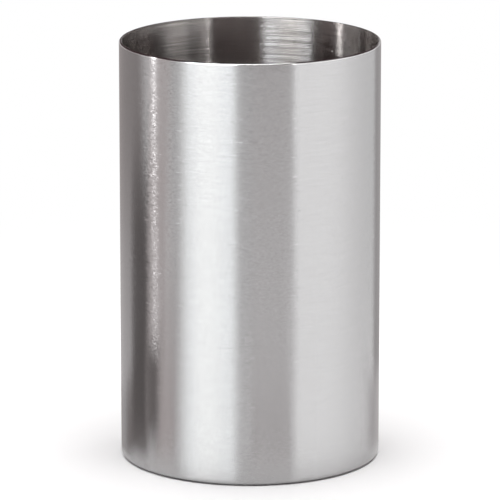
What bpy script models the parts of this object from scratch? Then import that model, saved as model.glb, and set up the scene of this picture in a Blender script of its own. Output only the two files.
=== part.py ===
"""Straight-sided steel mixing cup: a tube with a rounded rim, a flat base disc, and the weld ring
that joins the two and carries the rounded corner at the foot.

Metres, +Z up. The origin is the centre of the face that the cup stands on.
"""

from math import cos, pi, radians, sin

import bmesh
import bpy

# Overall size of the cup
OUTER_RADIUS = 0.0375
HEIGHT = 0.1220

# Thickness of the tube and of the base disc
WALL = 0.0008
BASE_THICKNESS = 0.0010

# The rim's crest stands this far from the bore, and the outer rounding takes the rest of the wall
RIM_INNER_ROUND = 0.00025

# Corner at the foot: the radius ground on the outside, and the weld's fillet inside the cup
CORNER_RADIUS = 0.0015
INNER_FILLET = 0.0007

# Facets of a full turn and of a quarter round
TURN_STEPS = 96
ARC_STEPS = 6

# Edges that bend more than this stay crisp
CRISP_ANGLE = radians(40)

# Points closer than this are one point
SAME_POINT = 1e-6

# Where the pieces meet
BORE_RADIUS = OUTER_RADIUS - WALL
RIM_OUTER_ROUND = WALL - RIM_INNER_ROUND
DISC_RADIUS = OUTER_RADIUS - max(CORNER_RADIUS, WALL + INNER_FILLET)
WELD_TOP = max(CORNER_RADIUS, BASE_THICKNESS + INNER_FILLET)


def quarter_round(centre, radius, start, end):
    """Points of an arc about centre, in the plane of radius and height, from start to end degrees."""
    angles = [radians(start + (end - start) * step / ARC_STEPS) for step in range(ARC_STEPS + 1)]
    return [(centre[0] + radius * cos(a), centre[1] + radius * sin(a)) for a in angles]


def tube_outline():
    """Section of the tube, from the rim's crest down the outside and back up the bore."""
    crest = BORE_RADIUS + RIM_INNER_ROUND
    outside = quarter_round((crest, HEIGHT - RIM_OUTER_ROUND), RIM_OUTER_ROUND, 90, 0)
    foot = [(OUTER_RADIUS, WELD_TOP), (BORE_RADIUS, WELD_TOP)]
    inside = quarter_round((crest, HEIGHT - RIM_INNER_ROUND), RIM_INNER_ROUND, 180, 90)
    return outside + foot + inside


def weld_outline():
    """Section of the weld ring, from the tube's foot round the corner and back up the fillet."""
    ground = quarter_round((OUTER_RADIUS - CORNER_RADIUS, CORNER_RADIUS), CORNER_RADIUS, 0, -90)
    disc_edge = [(DISC_RADIUS, 0), (DISC_RADIUS, BASE_THICKNESS)]
    fillet_centre = (BORE_RADIUS - INNER_FILLET, BASE_THICKNESS + INNER_FILLET)
    fillet = quarter_round(fillet_centre, INNER_FILLET, -90, 0)
    return [(OUTER_RADIUS, WELD_TOP)] + ground + disc_edge + fillet + [(BORE_RADIUS, WELD_TOP)]


def disc_outline():
    """Half section of the base disc, from its axis over the top, down the edge and back."""
    return [(0, BASE_THICKNESS), (DISC_RADIUS, BASE_THICKNESS), (DISC_RADIUS, 0), (0, 0)]


def steel(name, colour, roughness):
    """Material for one piece of bare steel."""
    material = bpy.data.materials.new(name)
    material.use_nodes = True
    shader = material.node_tree.nodes["Principled BSDF"]
    shader.inputs["Base Color"].default_value = (*colour, 1)
    shader.inputs["Metallic"].default_value = 1
    shader.inputs["Roughness"].default_value = roughness
    material.diffuse_color = (*colour, 1)
    return material


def turned_piece(name, outline, closed, material, parent):
    """Object made by turning an outline of radius and height points about the cup's axis."""
    shape = bmesh.new()
    points = [shape.verts.new((radius, 0, height)) for radius, height in outline]
    ends = points[1:] + points[:1] if closed else points[1:]
    edges = [shape.edges.new(pair) for pair in zip(points, ends)]
    bmesh.ops.spin(shape, geom=points + edges, axis=(0, 0, 1), angle=2 * pi, steps=TURN_STEPS)
    bmesh.ops.remove_doubles(shape, verts=shape.verts, dist=SAME_POINT)
    bmesh.ops.recalc_face_normals(shape, faces=shape.faces)
    mesh = bpy.data.meshes.new(name)
    shape.to_mesh(mesh)
    shape.free()
    mesh.shade_smooth()
    mesh.set_sharp_from_angle(angle=CRISP_ANGLE)
    mesh.materials.append(material)
    piece = bpy.data.objects.new(name, mesh)
    piece.parent = parent
    bpy.context.collection.objects.link(piece)
    return piece


def main():
    """Clear the scene and build the cup."""
    for old in list(bpy.data.objects):
        bpy.data.objects.remove(old)
    cup = bpy.data.objects.new("mixing_cup", None)
    bpy.context.collection.objects.link(cup)
    brushed = steel("brushed_wall_steel", (0.60, 0.59, 0.58), 0.30)
    turned = steel("turned_base_steel", (0.57, 0.56, 0.55), 0.34)
    ground = steel("ground_weld_steel", (0.60, 0.59, 0.58), 0.28)
    turned_piece("wall_tube", tube_outline(), True, brushed, cup)
    turned_piece("base_disc", disc_outline(), False, turned, cup)
    turned_piece("base_weld", weld_outline(), True, ground, cup)


main()
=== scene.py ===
"""Looks of a straight-sided steel mixing cup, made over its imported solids.

The wall is brushed round the axis, finely outside and coarsely inside, and its rim is polished. The
base is turned in rings, and the weld that joins the two is ground flush with the wall outside.
Metres, +Z up, with the origin at the centre of the face that the cup stands on.
"""

import logging
from dataclasses import dataclass
from enum import Enum
from math import cos, pi, radians, sin

import bmesh
import bpy
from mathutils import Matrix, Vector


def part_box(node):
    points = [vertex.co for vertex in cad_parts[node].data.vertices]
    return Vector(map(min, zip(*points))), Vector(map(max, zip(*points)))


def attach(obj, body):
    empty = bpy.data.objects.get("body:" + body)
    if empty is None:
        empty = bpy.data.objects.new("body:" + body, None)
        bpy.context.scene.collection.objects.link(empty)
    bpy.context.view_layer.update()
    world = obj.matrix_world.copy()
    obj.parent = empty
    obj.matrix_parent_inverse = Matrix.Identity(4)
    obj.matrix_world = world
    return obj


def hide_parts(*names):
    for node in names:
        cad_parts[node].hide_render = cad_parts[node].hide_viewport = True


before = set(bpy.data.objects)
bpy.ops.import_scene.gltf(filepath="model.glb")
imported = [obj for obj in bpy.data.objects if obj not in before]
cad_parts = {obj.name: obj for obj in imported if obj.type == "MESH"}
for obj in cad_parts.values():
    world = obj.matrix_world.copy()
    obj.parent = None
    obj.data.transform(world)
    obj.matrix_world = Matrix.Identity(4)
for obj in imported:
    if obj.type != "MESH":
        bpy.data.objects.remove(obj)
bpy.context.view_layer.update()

LOG = logging.getLogger("mixing_cup")
MM = 0.001

# Thickness of the cup's sheet steel
SHEET = 0.8 * MM

# Mean of a noise texture, taken off to bring a pattern about nought
NOISE_MEAN = 0.5

Colour = tuple[float, float, float]
Spot = tuple[float, float, float]
Point = tuple[float, float]

WHITE: Colour = (1.0, 1.0, 1.0)


class Wire:
    """An output socket that can be used in arithmetic: each operator adds a Math node."""

    def __init__(self, bench: "Bench", socket: bpy.types.NodeSocket) -> None:
        """Wrap one output socket of a node on a bench."""
        self.bench = bench
        self.socket = socket

    def other(self, output: str) -> "Wire":
        """Another output of the same node."""
        return Wire(self.bench, self.socket.node.outputs[output])

    def _math(self, operation: str, first: "Wire | float", second: "Wire | float") -> "Wire":
        """Result of a Math node on two values."""
        return self.bench.node("ShaderNodeMath", {"operation": operation}, {0: first, 1: second})

    def __add__(self, value: "Wire | float") -> "Wire":
        """Sum of this value and another."""
        return self._math("ADD", self, value)

    def __radd__(self, value: float) -> "Wire":
        """Sum of a number and this value."""
        return self._math("ADD", value, self)

    def __sub__(self, value: "Wire | float") -> "Wire":
        """This value less another."""
        return self._math("SUBTRACT", self, value)

    def __rsub__(self, value: float) -> "Wire":
        """A number less this value."""
        return self._math("SUBTRACT", value, self)

    def __mul__(self, value: "Wire | float") -> "Wire":
        """Product of this value and another."""
        return self._math("MULTIPLY", self, value)

    def __rmul__(self, value: float) -> "Wire":
        """Product of a number and this value."""
        return self._math("MULTIPLY", value, self)

    def __truediv__(self, value: "Wire | float") -> "Wire":
        """This value divided by another."""
        return self._math("DIVIDE", self, value)

    def __pow__(self, value: float) -> "Wire":
        """This value raised to a power."""
        return self._math("POWER", self, value)

    def __mod__(self, value: float) -> "Wire":
        """Remainder of this value after division."""
        return self._math("MODULO", self, value)

    def __gt__(self, value: "Wire | float") -> "Wire":
        """One where this value is the greater, and otherwise nought."""
        return self._math("GREATER_THAN", self, value)

    def same_as(self, value: "Wire | float", slack: float = 0.5) -> "Wire":
        """One where this whole number equals another, within the slack, and otherwise nought."""
        return self.bench.node("ShaderNodeMath", {"operation": "COMPARE"}, {0: self, 1: value, 2: slack})

    def whole(self) -> "Wire":
        """Whole number below this value."""
        return self._math("FLOOR", self, 0.0)

    def beyond(self, limit: float) -> "Wire":
        """How far this value passes a limit, either way."""
        sockets = {"Value": self, "Min": -limit, "Max": limit}
        return self - self.bench.node("ShaderNodeClamp", sockets=sockets)

    def step(self, start: float, end: float) -> "Wire":
        """Smooth step, which may run downwards.

        Args:
            start: value at which it is nought.
            end: value at which it is one.

        Returns:
            A value from nought to one.
        """
        low, high = min(start, end), max(start, end)
        sockets = {"Value": self, "From Min": low, "From Max": high}
        rise = self.bench.node("ShaderNodeMapRange", {"interpolation_type": "SMOOTHSTEP"}, sockets)
        return rise if start < end else 1 - rise


class Bench:
    """A node tree with one method that adds any node to it."""

    def __init__(self, tree: bpy.types.NodeTree) -> None:
        """Start on a tree as it stands."""
        self.tree = tree

    def node(self, kind: str, settings: dict | None = None, sockets: dict | None = None,
             output: int | str = 0) -> Wire | None:
        """Add a node.

        Args:
            kind: the node's type name.
            settings: properties of the node, which are set before its sockets.
            sockets: values or wires for its inputs, by name or by number.
            output: which output to hand back.

        Returns:
            The chosen output, or None for a node that has none.
        """
        made = self.tree.nodes.new(kind)
        for name, value in (settings or {}).items():
            setattr(made, name, value)
        for name, value in (sockets or {}).items():
            if isinstance(value, Wire):
                self.tree.links.new(value.socket, made.inputs[name])
            else:
                made.inputs[name].default_value = value
        return Wire(self, made.outputs[output]) if made.outputs else None

    def blend(self, share: Wire | float, first: Wire | Colour, second: Wire | Colour) -> Wire:
        """Colour that goes from the first to the second as the share goes from nought to one."""
        ends = [tuple(end) + (1.0,) if isinstance(end, tuple) else end for end in (first, second)]
        return self.node("ShaderNodeMix", {"data_type": "RGBA"}, {0: share, 6: ends[0], 7: ends[1]}, 2)

    def between(self, share: Wire | float, first: Wire | float, second: Wire | float) -> Wire:
        """Value that goes from the first to the second as the share goes from nought to one."""
        return self.node("ShaderNodeMix", {"data_type": "FLOAT"}, {0: share, 2: first, 3: second})


class Lay(Enum):
    """How brush lines lie: each kind runs round the axis, and its lines are stacked one way."""

    UP_THE_WALL = "up the wall"
    OUT_FROM_AXIS = "out from the axis"


@dataclass(frozen=True)
class Brush:
    """One family of brush lines.

    Attributes:
        length: how far a line runs before it fades.
        pitch: from one line to the next.
        lift: tilt of the steel across the lines, as a slope.
        waver: tilt of the steel along the lines, as a slope, in small flecks.
        shade: how much a line lightens or darkens the steel.
        haze: how much a line roughens or polishes it.
        detail: octaves of finer lines within.
        ruled: whether each line is parted sharply from the next.
        patchy: whether its tilt is stronger in the coarse patches of the wall.
        sparse: how far from the mean a line must be to show; nought shows all lines.
    """

    length: float
    pitch: float
    lift: float = 0.0
    waver: float = 0.0
    shade: float = 0.0
    haze: float = 0.0
    detail: float = 1.0
    ruled: bool = False
    patchy: bool = False
    sparse: float = 0.0


@dataclass(frozen=True)
class Face:
    """Finish of one face of a piece: its steel colour, roughness and families of brush lines."""

    colour: Colour
    roughness: float
    brushes: tuple[Brush, ...]


OUTSIDE = Face(
    colour=(0.452, 0.4475, 0.450),
    roughness=0.25,
    brushes=(
        Brush(length=5.0 * MM, pitch=0.22 * MM, lift=0.02, shade=0.02),
        Brush(length=0.95 * MM, pitch=0.38 * MM, lift=0.05, waver=0.004, patchy=True),
        Brush(length=3.6 * MM, pitch=0.5 * MM, waver=0.1, sparse=0.6),
        Brush(length=22 * MM, pitch=0.9 * MM, lift=0.002, shade=0.008),
    ),
)
INSIDE = Face(
    # Lighter than the outside of the same sheet: painted light in the cup's inside
    colour=(0.555, 0.524, 0.508),
    roughness=0.245,
    brushes=(
        Brush(length=18 * MM, pitch=0.25 * MM, lift=0.08, shade=0.08, ruled=True),
        Brush(length=30 * MM, pitch=0.03 * MM, lift=0.33),
        Brush(length=0.55 * MM, pitch=0.32 * MM, lift=0.025, waver=0.003, patchy=True),
        Brush(length=1.6 * MM, pitch=0.5 * MM, waver=0.16, sparse=0.6),
    ),
)
FILLET = Face(
    colour=(0.500, 0.486, 0.474),
    roughness=0.22,
    brushes=(Brush(length=2.5 * MM, pitch=0.5 * MM, lift=0.03, shade=0.03),),
)
TURNED = Face(
    colour=(0.476, 0.466, 0.462),
    roughness=0.28,
    brushes=(
        Brush(length=30 * MM, pitch=0.8 * MM, lift=0.06, shade=0.12, haze=0.12, detail=2.0),
        Brush(length=8 * MM, pitch=0.3 * MM, lift=0.06, shade=0.08, haze=0.08),
    ),
)


@dataclass(frozen=True)
class Rim:
    """Polished band along the mouth.

    Attributes:
        top: height of the mouth.
        crest: radius of the highest line of the rim.
        band: how far down the polish reaches.
        fade: height over which it fades out.
        seam: half the width over which the inside's finish goes over to the outside's.
        colour: of the polished steel, far lighter than the wall's steel: partly real polish, partly a painted
            highlight along the rim.
        roughness: of the polished steel.
        smoothed: share of the brush lines' tilt that the polish takes off.
    """

    top: float
    crest: float
    band: float = 0.6 * MM
    fade: float = 0.2 * MM
    seam: float = 0.1 * MM
    # Far lighter than the wall's steel: partly real polish, partly a painted highlight along the rim
    colour: Colour = (0.85, 0.845, 0.84)
    roughness: float = 0.2
    smoothed: float = 0.8


@dataclass(frozen=True)
class Mottle:
    """Slow change of the steel over a piece.

    Attributes:
        size: of its clouds.
        shade: how much a cloud lightens or darkens the steel.
        haze: how much it roughens or polishes it.
    """

    size: float = 25 * MM
    shade: float = 0.06
    haze: float = 0.16


@dataclass(frozen=True)
class CoarsePatch:
    """A strip up each of two opposite sides of the wall where the flecks are coarser.

    Attributes:
        way: level direction of one strip's middle from the axis.
        edge: cosine of the angle from the middle at which the strip ends.
        core: cosine of the angle within which it is fully coarse.
        gain: how much stronger the flecks are there.
        fade: height at which the strip starts, and height from which it is full.
    """

    way: Point = (-0.743, -0.669)
    edge: float = 0.95
    core: float = 0.985
    gain: float = 3.4
    fade: Point = (6 * MM, 24 * MM)


@dataclass(frozen=True)
class RingMark:
    """A faint line scored round the inside of the wall.

    Attributes:
        below: how far under the mouth it runs.
        width: of the line.
        depth: of the line.
    """

    below: float = 7.8 * MM
    width: float = 1.0 * MM
    depth: float = 0.03 * MM


@dataclass(frozen=True)
class Surface:
    """What the shader needs of one face, each value as a wire.

    Attributes:
        colour: of the steel.
        roughness: of its finish.
        lift: tilt across the brush lines, as a slope.
        waver: tilt along them, as a slope.
        relief: height of any mark, in metres.
    """

    colour: Wire
    roughness: Wire
    lift: Wire | float
    waver: Wire | float
    relief: Wire | float = 0.0


class SteelShop:
    """Makes the node materials of the cup.

    Attributes:
        anisotropy: how much the brushing stretches a highlight.
        quarter_turn: turn that stretches it across the lines.
        row_jump: step between the noise of one ruled line and the next.
        contrast: brings the noise of lines to about one either way.
        harshness: weight of the finer lines within a line.
        mottle: slow change over the piece.
    """

    anisotropy: float = 1.0
    quarter_turn: float = 0.25
    row_jump: float = 7.3
    contrast: float = 4.0
    harshness: float = 0.6
    mottle: Mottle = Mottle()

    def __init__(self, name: str) -> None:
        """Start a material with one Principled shader and the surface's place.

        Args:
            name: of the material.
        """
        self.material = bpy.data.materials.new(name)
        self.material.use_nodes = True
        self.bench = Bench(self.material.node_tree)
        self.shader = self.material.node_tree.nodes["Principled BSDF"]
        self.place = self.bench.node("ShaderNodeTexCoord", output="Object")
        self.x = self.bench.node("ShaderNodeSeparateXYZ", sockets={0: self.place})
        self.y = self.x.other("Y")
        self.z = self.x.other("Z")
        self.radius = (self.x * self.x + self.y * self.y) ** 0.5

    def lines(self, brush: Brush, lay: Lay) -> Wire:
        """Pattern of one family of brush lines, about nought.

        Args:
            brush: the family's sizes.
            lay: which way its lines are stacked.

        Returns:
            A value that is mostly between -1 and 1.
        """
        stacked = self.z if lay is Lay.UP_THE_WALL else self.radius
        row = stacked / brush.pitch
        if brush.ruled:
            row = row.whole() * self.row_jump
        sockets = {0: self.x / brush.length, 1: self.y / brush.length, 2: row}
        stretched = self.bench.node("ShaderNodeCombineXYZ", sockets=sockets)
        grain = self.bench.node(
            "ShaderNodeTexNoise",
            sockets={"Vector": stretched, "Scale": 1.0, "Detail": brush.detail, "Roughness": self.harshness},
        )
        line = (grain - NOISE_MEAN) * self.contrast
        return line.beyond(brush.sparse) if brush.sparse else line

    def clouds(self) -> Wire:
        """Slow change over the surface, about nought."""
        sockets = {"Vector": self.place, "Scale": 1 / self.mottle.size}
        return self.bench.node("ShaderNodeTexNoise", sockets=sockets) - NOISE_MEAN

    def surface(self, face: Face, lay: Lay, gain: Wire | float = 1.0) -> Surface:
        """Colour, roughness and tilt of one face.

        Args:
            face: the finish of the face.
            lay: which way its brush lines are stacked.
            gain: factor on the tilt of patchy lines.

        Returns:
            The face's wires.
        """
        cloud = self.clouds()
        lines = [(brush, self.lines(brush, lay)) for brush in face.brushes]
        shades = (line * brush.shade for brush, line in lines if brush.shade)
        hazes = (line * brush.haze for brush, line in lines if brush.haze)
        lifts = (
            line * (brush.lift * gain if brush.patchy else brush.lift) for brush, line in lines if brush.lift
        )
        wavers = (line * brush.waver for brush, line in lines if brush.waver)
        tone = sum(shades, 1 + cloud * self.mottle.shade)
        haze = sum(hazes, 1 + cloud * self.mottle.haze)
        colour = self.bench.node(
            "ShaderNodeVectorMath", {"operation": "SCALE"}, {0: face.colour, "Scale": tone}
        )
        return Surface(
            colour=colour,
            roughness=face.roughness * haze,
            lift=sum(lifts, 0.0),
            waver=sum(wavers, 0.0),
        )

    def along(self) -> Wire:
        """Level direction along the brush lines, round the axis."""
        tangent = self.bench.node("ShaderNodeCombineXYZ", sockets={0: 0 - self.y, 1: self.x, 2: 0.0})
        return self.bench.node("ShaderNodeVectorMath", {"operation": "NORMALIZE"}, {0: tangent})

    def across(self, lay: Lay) -> Wire | Spot:
        """Direction across the brush lines.

        Args:
            lay: which way the lines are stacked.

        Returns:
            Straight up, or a wire that points out from the axis.
        """
        if lay is Lay.UP_THE_WALL:
            return 0.0, 0.0, 1.0
        outward = self.bench.node("ShaderNodeCombineXYZ", sockets={0: self.x, 1: self.y, 2: 0.0})
        return self.bench.node("ShaderNodeVectorMath", {"operation": "NORMALIZE"}, {0: outward})

    def finish(self, surface: Surface, lay: Lay) -> bpy.types.Material:
        """Wire a surface to the shader.

        Args:
            surface: the wires of the finished surface.
            lay: which way its brush lines are stacked.

        Returns:
            The finished material.
        """
        bench = self.bench
        normal = bench.node("ShaderNodeNewGeometry", output="Normal")
        for way, slope in ((self.along(), surface.waver), (self.across(lay), surface.lift)):
            lean = bench.node("ShaderNodeVectorMath", {"operation": "SCALE"}, {0: way, "Scale": slope})
            normal = bench.node("ShaderNodeVectorMath", {"operation": "ADD"}, {0: normal, 1: lean})
        normal = bench.node("ShaderNodeVectorMath", {"operation": "NORMALIZE"}, {0: normal})
        if isinstance(surface.relief, Wire):
            marks = {"Strength": 1.0, "Distance": 1.0, "Height": surface.relief, "Normal": normal}
            normal = bench.node("ShaderNodeBump", sockets=marks)
        link = bench.tree.links.new
        link(surface.colour.socket, self.shader.inputs["Base Color"])
        link(surface.roughness.socket, self.shader.inputs["Roughness"])
        link(normal.socket, self.shader.inputs["Normal"])
        self.shader.inputs["Metallic"].default_value = 1.0
        self.shader.inputs["Anisotropic"].default_value = self.anisotropy
        self.shader.inputs["Anisotropic Rotation"].default_value = self.quarter_turn
        return self.material


class WallSteel(SteelShop):
    """Brushed steel that changes from the outside to the inside of the wall and is polished on the rim."""

    def make(self, rim: Rim, mark: RingMark, patch: CoarsePatch) -> bpy.types.Material:
        """Make the material.

        Args:
            rim: where the mouth is and how it is polished.
            mark: the line scored inside.
            patch: where the flecks are coarser.

        Returns:
            The finished material.
        """
        bench = self.bench
        inside = self.radius.step(rim.crest + rim.seam, rim.crest - rim.seam)
        near = (self.x * patch.way[0] + self.y * patch.way[1]) / self.radius
        sides = near.step(patch.edge, patch.core) + near.step(-patch.edge, -patch.core)
        gain = 1 + sides * self.z.step(*patch.fade) * (patch.gain - 1)
        # Band at the mouth: real polish, and a lighter colour that is partly a painted highlight
        polish = self.z.step(rim.top - rim.band, rim.top - rim.band + rim.fade) * (1 - inside)
        line = rim.top - mark.below
        scored = self.z.step(line - mark.width / 2, line) * self.z.step(line + mark.width / 2, line)
        outer = self.surface(OUTSIDE, Lay.UP_THE_WALL, gain)
        inner = self.surface(INSIDE, Lay.UP_THE_WALL, gain)
        colour = bench.blend(inside, outer.colour, inner.colour)
        haze = bench.between(inside, outer.roughness, inner.roughness)
        rough = 1 - polish * rim.smoothed
        return self.finish(Surface(
            colour=bench.blend(polish, colour, rim.colour),
            roughness=bench.between(polish, haze, rim.roughness),
            lift=bench.between(inside, outer.lift, inner.lift) * rough,
            waver=bench.between(inside, outer.waver, inner.waver) * rough,
            relief=inside * scored * -mark.depth,
        ), Lay.UP_THE_WALL)


class TurnedSteel(SteelShop):
    """Steel turned in rings about the axis."""

    def make(self) -> bpy.types.Material:
        """Make the material."""
        return self.finish(self.surface(TURNED, Lay.OUT_FROM_AXIS), Lay.OUT_FROM_AXIS)


class GroundSteel(SteelShop):
    """Weld metal: brushed with the wall outside, and smoother in the fillet inside.

    Attributes:
        seam: distance over which one finish goes over to the other.
    """

    seam: float = 0.1 * MM

    def make(self, bore: float, floor: float) -> bpy.types.Material:
        """Make the material.

        Args:
            bore: radius of the cup's inside.
            floor: height of the disc's upper face.

        Returns:
            The finished material.
        """
        bench = self.bench
        inside = self.radius.step(bore + self.seam, bore) * self.z.step(floor - self.seam, floor)
        outer = self.surface(OUTSIDE, Lay.UP_THE_WALL)
        inner = self.surface(FILLET, Lay.UP_THE_WALL)
        return self.finish(Surface(
            colour=bench.blend(inside, outer.colour, inner.colour),
            roughness=bench.between(inside, outer.roughness, inner.roughness),
            lift=bench.between(inside, outer.lift, inner.lift),
            waver=outer.waver * (1 - inside),
        ), Lay.UP_THE_WALL)


def settle(piece: bpy.types.Object, node: str) -> None:
    """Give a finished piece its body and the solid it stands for.

    Args:
        piece: the finished object.
        node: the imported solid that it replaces.
    """
    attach(piece, "root")
    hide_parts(node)
    LOG.info("%s: %d faces, stands for %s", piece.name, len(piece.data.polygons), node)


def arc(centre: Point, radius: float, start: float, end: float, steps: int) -> list[Point]:
    """Points of an arc in the plane of radius and height.

    Args:
        centre: of the arc.
        radius: of the arc.
        start: first angle, in degrees.
        end: last angle, in degrees.
        steps: number of straight parts.

    Returns:
        The points from start to end.
    """
    angles = [radians(start + (end - start) * step / steps) for step in range(steps + 1)]
    return [(centre[0] + radius * cos(angle), centre[1] + radius * sin(angle)) for angle in angles]


@dataclass
class Turning:
    """How finely round pieces are turned.

    Attributes:
        steps: facets of a full turn.
        arc_steps: facets of a quarter round.
        crisp: edges that bend more than this many degrees stay sharp.
        same: points closer than this are one point.
    """

    steps: int = 256
    arc_steps: int = 14
    crisp: float = 40.0
    same: float = 0.0005 * MM

    def turned(self, name: str, outline: list[Point], closed: bool,
               material: bpy.types.Material) -> bpy.types.Object:
        """Turn an outline about the axis.

        Args:
            name: of the piece.
            outline: points of radius and height.
            closed: whether the last point joins the first.
            material: of the piece.

        Returns:
            The new object.
        """
        shape = bmesh.new()
        points = [shape.verts.new((radius, 0, height)) for radius, height in outline]
        ends = points[1:] + points[:1] if closed else points[1:]
        edges = [shape.edges.new(pair) for pair in zip(points, ends)]
        bmesh.ops.spin(shape, geom=points + edges, axis=(0, 0, 1), angle=2 * pi, steps=self.steps)
        bmesh.ops.remove_doubles(shape, verts=shape.verts, dist=self.same)
        bmesh.ops.recalc_face_normals(shape, faces=shape.faces)
        mesh = bpy.data.meshes.new(name)
        shape.to_mesh(mesh)
        shape.free()
        mesh.shade_smooth()
        mesh.set_sharp_from_angle(angle=radians(self.crisp))
        mesh.materials.append(material)
        piece = bpy.data.objects.new(name, mesh)
        bpy.context.collection.objects.link(piece)
        return piece


@dataclass
class WallTube:
    """The straight tube with its rounded rim.

    Attributes:
        outer: outside radius.
        foot: height of its lower end.
        top: height of the mouth.
        wall: thickness of the steel.
        turning: how finely it is turned.
        inner_round: radius on the bore's edge of the rim; the outer edge takes the rest of the wall.
        wall_steps: rows between foot and rim.
    """

    outer: float
    foot: float
    top: float
    wall: float
    turning: Turning
    inner_round: float = 0.25 * MM
    wall_steps: int = 30

    def rim(self) -> Rim:
        """Where the rim's polish goes."""
        return Rim(top=self.top, crest=self.outer - self.wall + self.inner_round)

    def sizes(self, material: bpy.types.Material) -> dict[str, tuple[str, object]]:
        """Named inputs of the lathe: the kind of each socket and its value.

        Args:
            material: of the tube.

        Returns:
            Socket kind and value by input name.
        """
        return {
            "Outer Radius": ("NodeSocketFloat", self.outer),
            "Wall": ("NodeSocketFloat", self.wall),
            "Foot": ("NodeSocketFloat", self.foot),
            "Top": ("NodeSocketFloat", self.top),
            "Inner Round": ("NodeSocketFloat", self.inner_round),
            "Wall Steps": ("NodeSocketInt", self.wall_steps),
            "Arc Steps": ("NodeSocketInt", self.turning.arc_steps),
            "Turn Steps": ("NodeSocketInt", self.turning.steps),
            "Crisp Angle": ("NodeSocketFloat", radians(self.turning.crisp)),
            "Same Point": ("NodeSocketFloat", self.turning.same),
            "Steel": ("NodeSocketMaterial", material),
        }

    def lathe(self, kinds: dict[str, str]) -> bpy.types.NodeTree:
        """Node tree that rounds the section's two rim corners and turns it about the axis.

        Args:
            kinds: socket kind of each named input.

        Returns:
            The tree.
        """
        tree = bpy.data.node_groups.new("turned_tube", "GeometryNodeTree")
        tree.interface.new_socket("Geometry", in_out="OUTPUT", socket_type="NodeSocketGeometry")
        for name, kind in kinds.items():
            tree.interface.new_socket(name, in_out="INPUT", socket_type=kind)
        bench = Bench(tree)
        given = bench.node("NodeGroupInput")
        size = given.other

        # Section of the wall: foot, bore, mouth and outside, with rows only up its two long sides
        # The turned path looks down, so heights are counted down too
        bore = 0 - size("Wall")
        foot = 0 - size("Foot")
        mouth = 0 - size("Top")
        corners = [(0.0, foot), (bore, foot), (bore, mouth), (0.0, mouth)]
        points = {
            f"Point {number}": bench.node("ShaderNodeCombineXYZ", sockets={0: across, 1: height})
            for number, (across, height) in enumerate(corners, 1)
        }
        section = bench.node("GeometryNodeCurvePrimitiveQuadrilateral", {"mode": "POINTS"}, points)
        index = bench.node("GeometryNodeInputIndex")
        rows = {"Curve": section, "Cuts": (index % 2) * size("Wall Steps")}
        section = bench.node("GeometryNodeSubdivideCurve", sockets=rows)

        # The rows have pushed the mouth's corners, numbers 2 and 3, along the list of points
        inner_corner = index.same_as(size("Wall Steps") + 2)
        outer_corner = index.same_as(size("Wall Steps") + 3)
        outer_round = size("Wall") - size("Inner Round")
        rounding = {
            "Curve": section,
            "Count": (outer_corner + inner_corner) * size("Arc Steps"),
            "Radius": outer_corner * outer_round + inner_corner * size("Inner Round"),
        }
        section = bench.node("GeometryNodeFilletCurve", {"mode": "POLY"}, rounding)
        turn = {"Resolution": size("Turn Steps"), "Radius": size("Outer Radius")}
        path = bench.node("GeometryNodeCurvePrimitiveCircle", {"mode": "RADIUS"}, turn)
        tube = bench.node("GeometryNodeCurveToMesh", sockets={"Curve": path, "Profile Curve": section})
        merge = {"Geometry": tube, "Distance": size("Same Point")}
        tube = bench.node("GeometryNodeMergeByDistance", sockets=merge)
        tube = bench.node("GeometryNodeSetShadeSmooth", {"domain": "FACE"}, {"Geometry": tube})
        crisp = bench.node("GeometryNodeInputMeshEdgeAngle") > size("Crisp Angle")
        edges = {"Geometry": tube, "Selection": crisp, "Shade Smooth": False}
        tube = bench.node("GeometryNodeSetShadeSmooth", {"domain": "EDGE"}, edges)
        tube = bench.node("GeometryNodeRealizeInstances", sockets={"Geometry": tube})
        steel = {"Geometry": tube, "Material": size("Steel")}
        tube = bench.node("GeometryNodeSetMaterial", sockets=steel)
        bench.node("NodeGroupOutput", sockets={"Geometry": tube})
        return tree

    def build(self) -> bpy.types.Object:
        """Turn the tube and make it a plain mesh.

        Returns:
            The finished object.
        """
        material = WallSteel("brushed_wall").make(self.rim(), RingMark(), CoarsePatch())
        sizes = self.sizes(material)
        tree = self.lathe({name: kind for name, (kind, _) in sizes.items()})
        piece = bpy.data.objects.new("brushed_wall", bpy.data.meshes.new("blank"))
        bpy.context.collection.objects.link(piece)
        lathe = piece.modifiers.new("lathe", "NODES")
        lathe.node_group = tree
        for item in tree.interface.items_tree:
            if item.in_out == "INPUT":
                lathe[item.identifier] = sizes[item.name][1]
        made = piece.evaluated_get(bpy.context.evaluated_depsgraph_get())
        mesh = bpy.data.meshes.new_from_object(made)
        piece.modifiers.clear()
        piece.data = mesh
        mesh.name = piece.name
        settle(piece, "wall_tube")
        return piece


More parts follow.
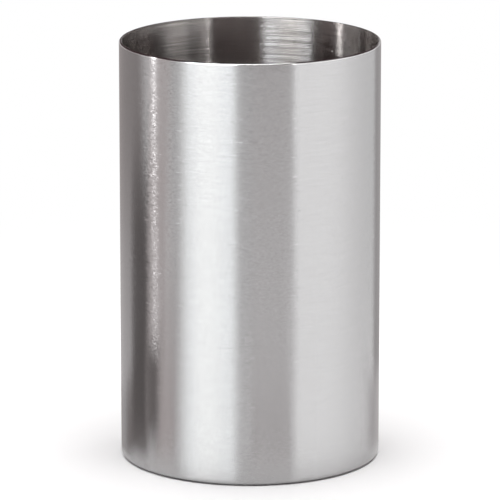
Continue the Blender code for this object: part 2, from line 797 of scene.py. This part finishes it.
@dataclass
class BaseWeld:
    """The weld ring between tube and disc, ground round at the foot.

    Attributes:
        outer: outside radius of the cup.
        top: height of the tube's foot.
        wall: thickness of the tube.
        disc_radius: radius of the disc.
        disc_thickness: thickness of the disc.
        turning: how finely it is turned.
        corner: radius ground on the outside.
        fillet: radius of the weld inside the cup.
    """

    outer: float
    top: float
    wall: float
    disc_radius: float
    disc_thickness: float
    turning: Turning
    corner: float = 1.5 * MM
    fillet: float = 0.7 * MM

    def outline(self) -> list[Point]:
        """Section from the tube's foot round the corner, along the disc's edge and up the fillet.

        Returns:
            Points of radius and height.
        """
        steps = self.turning.arc_steps
        bore = self.outer - self.wall
        ground = arc((self.outer - self.corner, self.corner), self.corner, 0, -90, steps)
        edge = [(self.disc_radius, 0.0), (self.disc_radius, self.disc_thickness)]
        fillet = arc((bore - self.fillet, self.disc_thickness + self.fillet), self.fillet, -90, 0, steps)
        return [(self.outer, self.top)] + ground + edge + fillet + [(bore, self.top)]

    def build(self) -> bpy.types.Object:
        """Turn the ring and dress it.

        Returns:
            The finished object.
        """
        material = GroundSteel("ground_weld").make(self.outer - self.wall, self.disc_thickness)
        piece = self.turning.turned("ground_weld", self.outline(), True, material)
        settle(piece, "base_weld")
        return piece


@dataclass
class BaseDisc:
    """The flat disc that closes the tube.

    Attributes:
        radius: of the disc.
        thickness: of the disc.
        turning: how finely it is turned.
        rings: rows from the axis to the edge.
    """

    radius: float
    thickness: float
    turning: Turning
    rings: int = 12

    def outline(self) -> list[Point]:
        """Half section from the axis over the top, down the edge and back.

        Returns:
            Points of radius and height.
        """
        spread = [self.radius * ring / self.rings for ring in range(self.rings + 1)]
        top = [(radius, self.thickness) for radius in spread]
        return top + [(radius, 0.0) for radius in reversed(spread)]

    def build(self) -> bpy.types.Object:
        """Turn the disc and dress it.

        Returns:
            The finished object.
        """
        material = TurnedSteel("turned_base").make()
        piece = self.turning.turned("turned_base", self.outline(), False, material)
        settle(piece, "base_disc")
        return piece


@dataclass(frozen=True)
class Camera:
    """The camera, in front of the cup and a little above it.

    Attributes:
        elevation: degrees above level.
        distance: from the point it looks at.
        aim: height of that point on the axis.
        lens: focal length in millimetres.
        sensor: width of the sensor in millimetres.
    """

    elevation: float = 13.264
    distance: float = 1.2896
    aim: float = 0.06016
    lens: float = 321.27
    sensor: float = 36.0

    def build(self) -> None:
        """Place the camera and make it the scene's."""
        data = bpy.data.cameras.new("camera")
        data.lens = self.lens
        data.sensor_width = self.sensor
        camera = bpy.data.objects.new("camera", data)
        tilt = radians(self.elevation)
        camera.location = (0, -self.distance * cos(tilt), self.aim + self.distance * sin(tilt))
        camera.rotation_euler = (pi / 2 - tilt, 0, 0)
        bpy.context.collection.objects.link(camera)
        bpy.context.scene.camera = camera


@dataclass(frozen=True)
class Card:
    """A soft-edged card that only shiny surfaces see: a lamp face, a flag, or a painted shadow or painted
    reflection lying on the floor.

    It stands where the wall's mirror image of it falls, seen from the camera: a heading is the way that
    the camera's view leaves the wall, in degrees from the camera's side with + to the right, and a
    distance is counted from the wall along that way.

    Attributes:
        name: of the card.
        start: heading of one upright edge.
        end: heading of the other upright edge.
        low: distance and height of the lower edge.
        high: distance and height of the upper edge.
        glow: radiance, where a white floor has 1.
        tint: colour of its light.
        soft_start: share of the width over which it fades in at its start.
        soft_end: share of the width over which it fades out at its end.
        soft_low: share of the height over which it fades in at the bottom.
        soft_high: share of the height over which it fades out at the top.
        aimed: whether light is traced to it on purpose, as it is to a small bright lamp.
        shades: whether it stops such light.
    """

    name: str
    start: float
    end: float
    low: Point
    high: Point
    glow: float
    tint: Colour = WHITE
    soft_start: float = 0.1
    soft_end: float = 0.1
    soft_low: float = 0.05
    soft_high: float = 0.1
    aimed: bool = False
    shades: bool = False

    def paint(self) -> bpy.types.Material:
        """Material that glows through a soft-edged window.

        Returns:
            The card's material.
        """
        material = bpy.data.materials.new(self.name)
        material.use_nodes = True
        material.node_tree.nodes.clear()
        bench = Bench(material.node_tree)
        chart = bench.node("ShaderNodeTexCoord", output="UV")
        across = bench.node("ShaderNodeSeparateXYZ", sockets={0: chart})
        up = across.other("Y")
        sides = across.step(0.0, self.soft_start) * across.step(1.0, 1 - self.soft_end)
        ends = up.step(0.0, self.soft_low) * up.step(1.0, 1 - self.soft_high)
        sockets = {"Color": (*self.tint, 1), "Strength": self.glow}
        lit = bench.node("ShaderNodeEmission", sockets=sockets)
        clear = bench.node("ShaderNodeBsdfTransparent")
        mixed = bench.node("ShaderNodeMixShader", sockets={0: sides * ends, 1: clear, 2: lit})
        bench.node("ShaderNodeOutputMaterial", sockets={"Surface": mixed})
        if not self.aimed:
            material.cycles.emission_sampling = "NONE"
        return material

    def column(self, wall_radius: float, heading: float) -> list[Spot]:
        """Lower and upper point of the card at one heading.

        Args:
            wall_radius: outside radius of the cup.
            heading: in radians.

        Returns:
            The two points.
        """
        points = []
        for distance, height in (self.low, self.high):
            x = wall_radius * sin(heading / 2) + distance * sin(heading)
            y = -wall_radius * cos(heading / 2) - distance * cos(heading)
            points.append((x, y, height))
        return points

    def build(self, wall_radius: float, steps: int = 24) -> None:
        """Bend the card and stand it in the studio.

        Args:
            wall_radius: outside radius of the cup.
            steps: flat parts across its width.
        """
        shape = bmesh.new()
        chart = shape.loops.layers.uv.new("chart")
        headings = [radians(self.start + (self.end - self.start) * step / steps) for step in range(steps + 1)]
        columns = [[shape.verts.new(point) for point in self.column(wall_radius, way)] for way in headings]
        for step, (here, there) in enumerate(zip(columns, columns[1:])):
            face = shape.faces.new((here[0], there[0], there[1], here[1]))
            corners = [(step, 0), (step + 1, 0), (step + 1, 1), (step, 1)]
            for loop, (along, up) in zip(face.loops, corners):
                loop[chart].uv = (along / steps, up)
        mesh = bpy.data.meshes.new(self.name)
        shape.to_mesh(mesh)
        shape.free()
        mesh.materials.append(self.paint())
        card = bpy.data.objects.new(self.name, mesh)
        card.visible_camera = False
        card.visible_diffuse = False
        card.visible_shadow = self.shades
        bpy.context.collection.objects.link(card)


WARM = (1.0, 0.91, 0.90)
PALE = (1.0, 0.96, 0.96)
COOL = (0.985, 1.0, 0.995)
SKY = (0.94, 1.0, 1.045)

# Softness of an edge that should stay sharp
SHARP = 0.0001

# Cards that lie on the floor and glow brighter than the white floor are a painted reflection of a lamp in the
# floor; darker cards that lie on it close to the cup are the cup's painted shadow on the floor.
# A drape stands behind, and a flag stands close to the cup to keep a lamp or the white floor out of the steel
CARDS = (
    # Big key light at the left of the front, brightest in its middle
    # Two floor cards: painted reflection of the key light in the floor
    Card("key_painted_floor_reflection", -68, -7.5, (0.004, 0.0006), (2.9, 0.0012), 1.43, COOL, soft_start=0.1, soft_end=0.2,
         soft_low=0.004),
    Card("core_painted_floor_reflection", -64, -13, (0.004, 0.0014), (2.8, 0.002), 1.6, COOL, soft_start=0.42, soft_end=0.48,
         soft_low=0.004),
    Card("key_low", -69, -5.5, (3.0, 0.0), (3.0, 0.65), 1.9, COOL, soft_start=0.14, soft_end=0.16),
    Card("key_high", -61, -9, (3.0, 0.65), (3.0, 2.8), 5.0, SKY, soft_start=0.06, soft_end=0.18),
    Card("key_core", -61, -17, (2.9, 0.0), (2.9, 2.3), 3.5, COOL, soft_start=0.48, soft_end=0.48),

    # Wide panel at the right, with a bright edge that shows as a line inside the cup
    # Floor card: painted reflection of the panel in the floor
    Card("panel_painted_floor_reflection", 38, 150, (0.004, 0.0006), (1.15, 0.0012), 1.46, soft_start=0.04, soft_end=0.8,
         soft_low=0.02),
    Card("side_panel", 38, 150, (1.2, 0.0), (1.2, 0.28), 2.44, soft_start=0.05, soft_end=0.8),
    Card("upper_panel", 38, 112, (1.2, 0.28), (1.2, 0.8), 0.8, soft_start=0.05, soft_end=0.4),
    Card("panel_edge", 39.2, 41.7, (1.1, 0.28), (1.1, 0.9), 8.0, soft_start=0.2, soft_end=0.2, aimed=True),

    # Small lamp at the far left, which makes the speckled streak, a glow that widens the streak's top,
    # and the flags that end it, with a lighter split between the dark lines below its end
    Card("strip_lamp", -98, -90, (0.8, 0.265), (0.8, 0.295), 84.0, soft_start=0.5, soft_end=0.25, aimed=True),
    Card("top_glow", -118, -97, (0.07, 0.1), (0.07, 0.121), 1.15, PALE, soft_start=0.85, soft_end=0.1,
         soft_low=0.3),
    Card("gap_flag", -106, -80, (0.102, 0.028), (0.105, 0.069), 0.74, WARM, soft_end=0.12, shades=True),
    Card("gap_foot", -106, -80, (0.10, 0.001), (0.102, 0.028), 0.74, WARM, soft_end=0.12),
    Card("flag_split", -109, -99, (0.004, 0.001), (0.026, 0.044), 0.34, WARM, soft_start=0.4, soft_end=0.25,
         soft_low=0.3, soft_high=0.4),
    Card("streak_flag", -102.5, -84, (0.003, 0.001), (0.0165, 0.0372), 0.27, WARM, soft_start=0.16,
         soft_end=0.54, soft_low=0.4),

    # Drapes between the lamps, and floor cards by the foot, darker than the white floor, as the cup's painted
    # shadow on the floor
    Card("gap_drape", -102, -68, (0.4, 0.001), (0.5, 0.24), 0.92, WARM, soft_start=0.1, soft_end=0.3),
    Card("gap_painted_foot_shadow", -93, -66, (0.015, 0.001), (0.12, 0.012), 0.75, WARM, soft_end=0.3),
    Card("front_drape", -3, 38, (0.9, 0.001), (0.9, 0.24), 0.79, WARM, soft_start=0.2, soft_end=0.1),
    Card("front_painted_foot_shadow", -3, 38, (0.025, 0.001), (0.06, 0.008), 0.82, PALE, soft_start=0.2),

    # Dark cards that draw the band at the left: painted shadow that the cup casts on the floor
    Card("left_painted_cast_shadow", -134, -99.8, (0.006, 0.001), (0.07, 0.09), 0.19, WARM, soft_start=0.3, soft_end=0.2,
         soft_low=0.16, soft_high=0.3),
    Card("low_painted_cast_shadow", -150, -102, (0.003, 0.001), (0.045, 0.02), 0.3, WARM, soft_start=0.3, soft_end=0.15,
         soft_low=0.2, soft_high=0.4),

    # Drapes at both sides, behind the camera's view of the edges, and floor cards by the foot, darker than
    # the white floor, as the cup's painted shadow on the floor
    Card("left_painted_foot_shadow", -178, -126, (0.003, 0.001), (0.07, 0.004), 0.47, PALE, soft_end=0.3),
    Card("left_shelf", -176, -118, (0.068, 0.001), (0.20, 0.064), 0.64, PALE, soft_end=0.3, soft_high=0.8),
    Card("left_drape", -176, -100, (0.07, 0.001), (0.5, 0.17), 0.43, WARM, soft_end=0.2, soft_high=0.45),
    Card("right_drape", 138, 180, (0.03, 0.001), (0.5, 0.25), 0.49, PALE, soft_start=0.22, soft_high=0.15),
    Card("right_painted_foot_shadow", 118, 180, (0.01, 0.001), (0.05, 0.015), 0.66, PALE, soft_start=0.45),

    # Face of the lamp overhead
    Card("overhead", -90, 90, (0.40, 1.0), (0.0, 1.0), 4.4, soft_start=SHARP, soft_end=SHARP, soft_low=0.2,
         soft_high=SHARP),
)


@dataclass(frozen=True)
class Studio:
    """A white floor in a dim room, lit from overhead, with cards for the steel to reflect.

    Attributes:
        wall_radius: outside radius of the cup, whose mirror image places the cards.
        floor_radius: of the floor.
        floor_steps: straight parts of the floor's edge.
        floor_colour: of the floor near the cup.
        white_from: distance at which the floor's colour starts to go over to plain white.
        white_at: distance at which it is plain white.
        lamp_size: side of the square overhead lamp.
        lamp_height: of that lamp.
        lamp_watts: its power.
        room: brightness of the room above the low backdrop.
        backdrop_low: sine of the elevation where the white backdrop starts to fade.
        backdrop_top: sine of the elevation where it ends.
    """

    wall_radius: float
    floor_radius: float = 12.0
    floor_steps: int = 96
    floor_colour: Colour = (0.95, 0.95, 0.95)
    white_from: float = 0.03
    white_at: float = 0.32
    lamp_size: float = 1.5
    lamp_height: float = 1.3
    lamp_watts: float = 30.0
    room: Colour = (0.046, 0.027, 0.029)
    backdrop_low: float = 0.055
    backdrop_top: float = 0.11

    @staticmethod
    def on_show(bench: Bench) -> Wire:
        """One for what the camera, a shine or a clear piece shows, and nought for light on the scene.

        Args:
            bench: the tree to work in.

        Returns:
            The share, which may pass one.
        """
        path = bench.node("ShaderNodeLightPath", output="Is Camera Ray")
        return path + path.other("Is Glossy Ray") + path.other("Is Transmission Ray")

    def floor(self) -> None:
        """Lay the floor, which keeps the cup's shadow and is plain white far away."""
        material = bpy.data.materials.new("floor")
        material.use_nodes = True
        material.node_tree.nodes.clear()
        bench = Bench(material.node_tree)
        place = bench.node("ShaderNodeTexCoord", output="Object")
        distance = bench.node("ShaderNodeVectorMath", {"operation": "LENGTH"}, {0: place}, "Value")
        paint = bench.node("ShaderNodeBsdfDiffuse", sockets={"Color": (*self.floor_colour, 1)})
        white = bench.node("ShaderNodeEmission", sockets={"Color": (*WHITE, 1), "Strength": 1.0})
        far = distance.step(self.white_from, self.white_at) * self.on_show(bench)
        mixed = bench.node("ShaderNodeMixShader", sockets={0: far, 1: paint, 2: white})
        bench.node("ShaderNodeOutputMaterial", sockets={"Surface": mixed})
        shape = bmesh.new()
        bmesh.ops.create_circle(shape, cap_ends=True, segments=self.floor_steps, radius=self.floor_radius)
        mesh = bpy.data.meshes.new("floor")
        shape.to_mesh(mesh)
        shape.free()
        mesh.materials.append(material)
        floor = bpy.data.objects.new("floor", mesh)
        bpy.context.collection.objects.link(floor)

    def lamp(self) -> None:
        """Hang a soft square lamp over the floor, which the steel doesn't mirror."""
        data = bpy.data.lights.new("overhead_softbox", "AREA")
        data.size = self.lamp_size
        data.energy = self.lamp_watts
        lamp = bpy.data.objects.new("overhead_softbox", data)
        lamp.location = (0, 0, self.lamp_height)
        lamp.visible_camera = False
        lamp.visible_glossy = False
        bpy.context.collection.objects.link(lamp)

    def room_light(self) -> None:
        """Paint the room: white low down, where the backdrop is, and dim above it."""
        world = bpy.data.worlds.new("room")
        world.cycles.sampling_method = "NONE"
        world.use_nodes = True
        bpy.context.scene.world = world
        bench = Bench(world.node_tree)
        toward = bench.node("ShaderNodeTexCoord", output="Generated")
        height = bench.node("ShaderNodeSeparateXYZ", sockets={0: toward}, output="Z")
        low = height.step(self.backdrop_top, self.backdrop_low) * self.on_show(bench)
        sky = world.node_tree.nodes["Background"]
        world.node_tree.links.new(bench.blend(low, self.room, WHITE).socket, sky.inputs["Color"])

    def build(self) -> None:
        """Set up the studio."""
        bpy.context.scene.view_settings.view_transform = "Standard"
        self.floor()
        self.lamp()
        self.room_light()
        for card in CARDS:
            card.build(self.wall_radius)


def main() -> None:
    """Set up the studio, build the cup's pieces and note both boxes."""
    logging.basicConfig(level=logging.INFO, format="%(name)s: %(message)s")
    tube_low, tube_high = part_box("wall_tube")
    disc_low, disc_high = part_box("base_disc")
    Camera().build()
    Studio(wall_radius=tube_high.x).build()

    turning = Turning()
    WallTube(outer=tube_high.x, foot=tube_low.z, top=tube_high.z, wall=SHEET, turning=turning).build()
    BaseWeld(
        outer=tube_high.x,
        top=tube_low.z,
        wall=SHEET,
        disc_radius=disc_high.x,
        disc_thickness=disc_high.z - disc_low.z,
        turning=turning,
    ).build()
    BaseDisc(radius=disc_high.x, thickness=disc_high.z, turning=turning).build()


if __name__ == "__main__":
    main()
